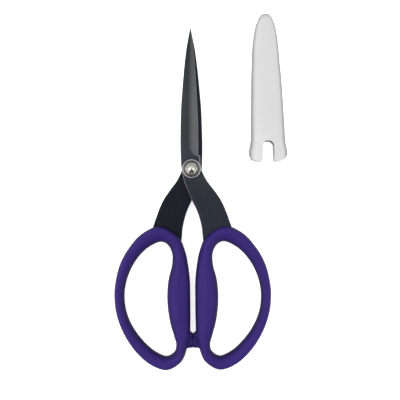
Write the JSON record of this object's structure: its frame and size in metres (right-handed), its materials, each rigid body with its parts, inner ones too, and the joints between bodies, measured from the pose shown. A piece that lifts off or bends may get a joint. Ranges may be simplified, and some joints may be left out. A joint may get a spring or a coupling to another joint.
{
  "type": "craft scissors",
  "caption": "Craft scissors with slim dark pointed blades, soft purple ring handles and a hexagon pivot nut, with a pale slip-on blade cover beside them.",
  "frame": {"origin": "on the pivot axis, in the flat rear face of the pivot screw's head, which is the plane the scissors lie on", "axes": "+Y along the closed blades towards the tips, +Z along the pivot axis towards the nut, +X towards the right-hand ring"},
  "size_m": [0.0978, 0.2001, 0.0123],
  "materials": {
    "coated_steel": "dark coated steel, fine lengthwise grain, satin",
    "bright_steel": "bright plated steel, polished",
    "handle_core": "rigid moulded plastic, hidden inside the grips",
    "soft_grip": "soft-touch overmould, matte with a faint sheen",
    "stop_pad": "soft rubber, matte",
    "slip_washer": "self-lubricating plastic",
    "cover_plastic": "pale grey translucent moulded plastic, satin"
  },
  "bodies": {
    "rear_half": {"rear_blade": "coated_steel", "left_handle_core": "handle_core", "left_handle_grip": "soft_grip", "left_stop_pad": "stop_pad", "pivot_screw": "bright_steel", "rear_washer": "bright_steel", "blade_washer": "slip_washer", "front_washer": "bright_steel", "lock_washer": "bright_steel"},
    "front_half": {"front_blade": "coated_steel", "right_handle_core": "handle_core", "right_handle_grip": "soft_grip", "right_stop_pad": "stop_pad"},
    "tension_nut": {"pivot_nut": "bright_steel"},
    "loose_cover": {"blade_cover": "cover_plastic"}
  },
  "joints": [
    {"name": "blade_pivot", "type": "hinge", "parent": "rear_half", "child": "front_half", "pos_m": [0, 0, 0.0055], "axis": [0, 0, 1], "range_deg": [0, 50]},
    {"name": "nut_turn", "type": "hinge", "parent": "rear_half", "child": "tension_nut", "pos_m": [0, 0, 0.0106], "axis": [0, 0, 1], "range_deg": [-45, 45]},
    {"name": "cover_slide", "type": "slide", "parent": "rear_half", "child": "loose_cover", "axis": [0, 1, 0], "range_m": [0, 0.085]}
  ]
}
